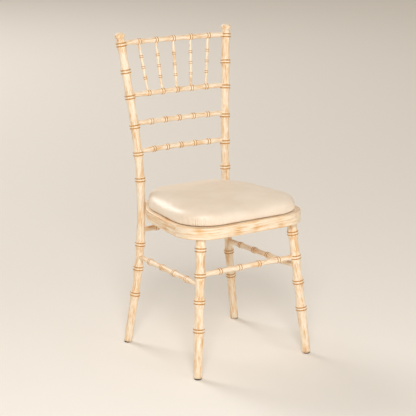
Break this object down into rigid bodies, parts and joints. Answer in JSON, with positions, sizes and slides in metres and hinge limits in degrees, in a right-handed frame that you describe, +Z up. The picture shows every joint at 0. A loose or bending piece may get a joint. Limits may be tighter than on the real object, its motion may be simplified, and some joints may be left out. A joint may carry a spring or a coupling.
{
  "type": "chiavari chair",
  "caption": "Turned wooden side chair with ringed posts, bowed back rails, back spindles, round stretchers and a loose crowned seat pad.",
  "frame": {"origin": "on the floor, in the middle of the chair's outline, under the glides", "axes": "+X to the right of someone who faces the chair, +Y from front to back, +Z up"},
  "size_m": [0.41, 0.437, 0.9166],
  "materials": {
    "limewashed_beech": "limewashed and satin lacquered turned beech",
    "birch_plywood": "bare plywood",
    "ivory_vinyl": "ivory vinyl with a soft sheen",
    "seat_foam": "open cell foam",
    "hook_and_loop": "hook and loop tape",
    "zinc_steel": "zinc plated",
    "glide_plastic": "dark moulded plastic"
  },
  "bodies": {
    "chair_frame": {"back_spindle_1": "limewashed_beech", "back_spindle_2": "limewashed_beech", "back_spindle_3": "limewashed_beech", "back_spindle_4": "limewashed_beech", "back_spindle_5": "limewashed_beech", "front_glide_left": "glide_plastic", "front_glide_right": "glide_plastic", "front_leg_left": "limewashed_beech", "front_leg_right": "limewashed_beech", "front_stretcher": "limewashed_beech", "hook_tapes": "hook_and_loop", "lower_ladder_rail": "limewashed_beech", "post_bolts": "zinc_steel", "rear_glide_left": "glide_plastic", "rear_glide_right": "glide_plastic", "rear_post_left": "limewashed_beech", "rear_post_right": "limewashed_beech", "rear_stretcher": "limewashed_beech", "seat_front_bow": "limewashed_beech", "seat_panel": "birch_plywood", "seat_rear_bow": "limewashed_beech", "seat_side_rail_left": "limewashed_beech", "seat_side_rail_right": "limewashed_beech", "side_stretcher_left": "limewashed_beech", "side_stretcher_right": "limewashed_beech", "spindle_rail": "limewashed_beech", "top_rail": "limewashed_beech", "upper_ladder_rail": "limewashed_beech"},
    "seat_pad": {"pad_cover": "ivory_vinyl", "pad_board": "birch_plywood", "pad_foam": "seat_foam", "loop_tapes": "hook_and_loop"}
  },
  "joints": [
    {"name": "seat_pad_lift", "type": "slide", "parent": "chair_frame", "child": "seat_pad", "axis": [0, 0, 1], "range_m": [0, 0.08]}
  ]
}
